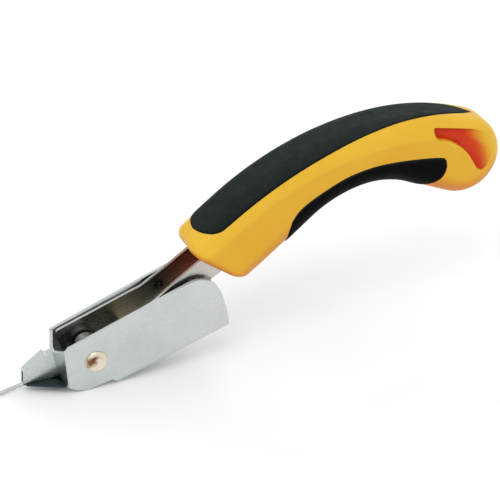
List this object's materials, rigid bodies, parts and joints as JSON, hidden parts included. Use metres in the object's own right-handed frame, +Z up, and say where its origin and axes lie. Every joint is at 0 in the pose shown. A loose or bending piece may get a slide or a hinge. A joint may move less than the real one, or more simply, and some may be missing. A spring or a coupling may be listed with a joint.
{
  "type": "staple remover",
  "caption": "Lever staple remover: plated folded-sheet jaw housing with a thin lifting blade, sprung channel lever and a curved two-colour soft-grip handle.",
  "frame": {"origin": "centre of the bounding box, on the surface that the blade tip and the housing's heel touch in the working pose", "axes": "+X from the blade towards the handle's end, +Y across the tool to its far side, +Z up"},
  "size_m": [0.1814, 0.021, 0.0785],
  "materials": {
    "plated_sheet": "bright nickel-chrome plating on pressed sheet",
    "blade_steel": "hardened and ground",
    "spring_steel": "dark oiled spring wire",
    "rivet_nickel": "warm nickel plating",
    "sleeve_steel": "turned",
    "washer_steel": "plain",
    "yellow_plastic": "semi-gloss moulded plastic",
    "black_grip": "soft matte thermoplastic rubber",
    "screw_steel": "zinc plated"
  },
  "bodies": {
    "housing": {"jaw_housing": "plated_sheet", "pivot_rivet": "rivet_nickel", "washer_near": "washer_steel", "washer_far": "washer_steel", "return_spring": "spring_steel"},
    "lever": {"lever": "plated_sheet", "blade": "blade_steel", "blade_pin": "spring_steel", "sleeve_near": "sleeve_steel", "sleeve_far": "sleeve_steel", "handle_shell_near": "yellow_plastic", "handle_shell_far": "yellow_plastic", "grip_top": "black_grip", "grip_bottom": "black_grip", "screw_front": "screw_steel", "screw_tang": "screw_steel", "screw_middle": "screw_steel", "screw_rear": "screw_steel"}
  },
  "joints": [
    {"name": "lever_hinge", "type": "hinge", "parent": "housing", "child": "lever", "pos_m": [-0.05883, 0, 0.01057], "axis": [0, 1, 0], "range_deg": [0, 10], "stiffness_Nm_per_rad": 0.11, "springref_deg": -63.03, "deforming": ["return_spring"]}
  ]
}
